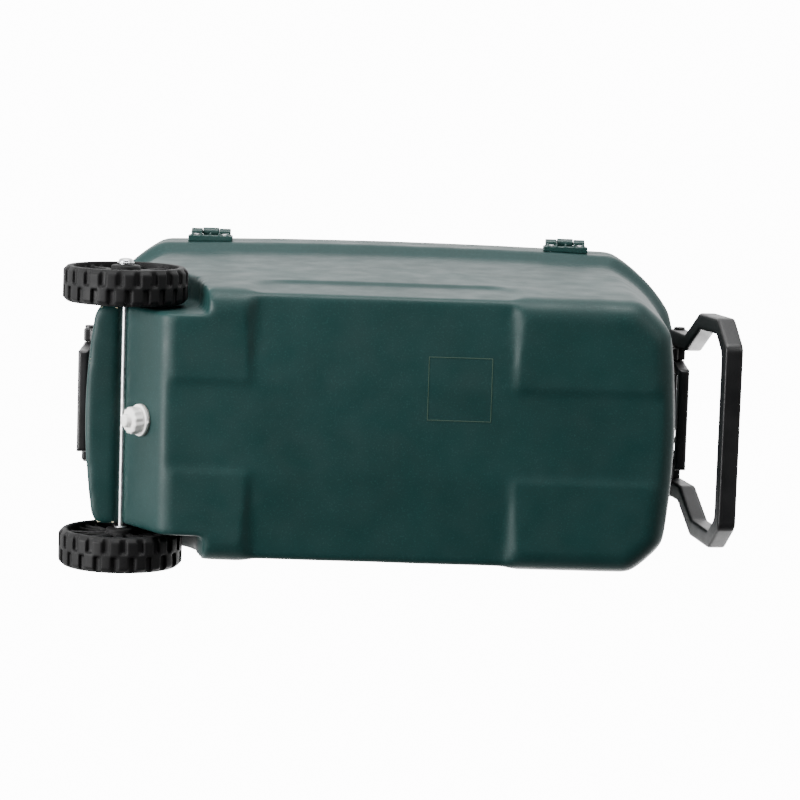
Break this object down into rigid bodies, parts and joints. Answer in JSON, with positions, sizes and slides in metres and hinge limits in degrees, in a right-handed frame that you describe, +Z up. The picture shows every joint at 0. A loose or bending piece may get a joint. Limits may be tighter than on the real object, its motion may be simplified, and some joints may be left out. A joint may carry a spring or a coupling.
{
  "type": "wheeled cooler",
  "caption": "Insulated ice chest with a hinged lid, wheels on one end, a swinging tow handle, lifting bails at both ends and a screw-cap drain.",
  "frame": {"origin": "middle of the whole cooler's box in plan, on the ground plane that the wheels and the corner pads stand on", "axes": "+X towards the wheel end, +Y towards the lid hinges, +Z up"},
  "size_m": [0.7954, 0.403, 0.455],
  "materials": {
    "green_shell": "matte",
    "green_hinge": "matte",
    "white_liner": "satin",
    "foam_core": "matte",
    "black_handle": "matte",
    "black_pin": "matte",
    "wheel_plastic": "matte",
    "seal_rubber": "matte",
    "drain_white": "matte",
    "cap_steel": "matte",
    "bare_steel": "matte"
  },
  "bodies": {
    "body": {"axle": "bare_steel", "axle_cap_back": "cap_steel", "axle_cap_front": "cap_steel", "axle_washers": "bare_steel", "body_insulation": "foam_core", "body_liner": "white_liner", "body_shell": "green_shell", "bracket_screws_tow_end": "bare_steel", "bracket_screws_wheel_end": "bare_steel", "drain_gasket": "seal_rubber", "drain_nut": "drain_white", "drain_spout": "drain_white", "handle_bracket_tow_end": "black_handle", "handle_bracket_wheel_end": "black_handle", "handle_pin_tow_back": "black_pin", "handle_pin_tow_front": "black_pin", "handle_pin_wheel_back": "black_pin", "handle_pin_wheel_front": "black_pin", "hinge_leaf_body_tow_side": "green_hinge", "hinge_leaf_body_wheel_side": "green_hinge", "hinge_pin_tow_side": "bare_steel", "hinge_pin_wheel_side": "bare_steel", "hinge_screws_body": "bare_steel"},
    "lid": {"hinge_leaf_lid_tow_side": "green_hinge", "hinge_leaf_lid_wheel_side": "green_hinge", "hinge_screws_lid": "bare_steel", "lid_insulation": "foam_core", "lid_liner": "white_liner", "lid_shell": "green_shell"},
    "wheel_front": {"wheel_front": "wheel_plastic"},
    "wheel_back": {"wheel_back": "wheel_plastic"},
    "tow_handle": {"tow_handle": "black_handle"},
    "side_handle_tow_end": {"side_handle_tow_end": "black_handle"},
    "side_handle_wheel_end": {"side_handle_wheel_end": "black_handle"},
    "drain_seal": {"drain_seal": "seal_rubber"},
    "drain_cap": {"drain_cap": "drain_white"}
  },
  "joints": [
    {"name": "lid_hinge", "type": "hinge", "parent": "body", "child": "lid", "pos_m": [0.01971, 0.1955, 0.3948], "axis": [-1, 0, 0], "range_deg": [0, 95]},
    {"name": "wheel_front_spin", "type": "hinge", "parent": "body", "child": "wheel_front", "pos_m": [0.32473, -0.15751, 0.073], "axis": [0, 1, 0], "continuous": true},
    {"name": "wheel_back_spin", "type": "hinge", "parent": "body", "child": "wheel_back", "pos_m": [0.32473, 0.15351, 0.073], "axis": [0, 1, 0], "continuous": true},
    {"name": "tow_handle_pivot", "type": "hinge", "parent": "body", "child": "tow_handle", "pos_m": [-0.3457, -0.002, 0.275], "axis": [0, 1, 0], "range_deg": [-12, 130]},
    {"name": "side_handle_tow_end_pivot", "type": "hinge", "parent": "body", "child": "side_handle_tow_end", "pos_m": [-0.3457, -0.002, 0.275], "axis": [0, 1, 0], "range_deg": [0, 90]},
    {"name": "side_handle_wheel_end_pivot", "type": "hinge", "parent": "body", "child": "side_handle_wheel_end", "pos_m": [0.38512, -0.002, 0.275], "axis": [0, -1, 0], "range_deg": [0, 90]},
    {"name": "drain_seal_travel", "type": "slide", "parent": "body", "child": "drain_seal", "axis": [0.8131, 0, -0.5821], "range_m": [0, 0.00601]},
    {"name": "drain_cap_turn", "type": "hinge", "parent": "drain_seal", "child": "drain_cap", "pos_m": [0.29959, -0.002, 0.03864], "axis": [0.8131, 0, -0.5821], "range_deg": [0, 720]}
  ],
  "couplings": [
    {"joint": "drain_seal_travel", "follows": "drain_cap_turn", "m_per_rad": 0.00047746}
  ]
}
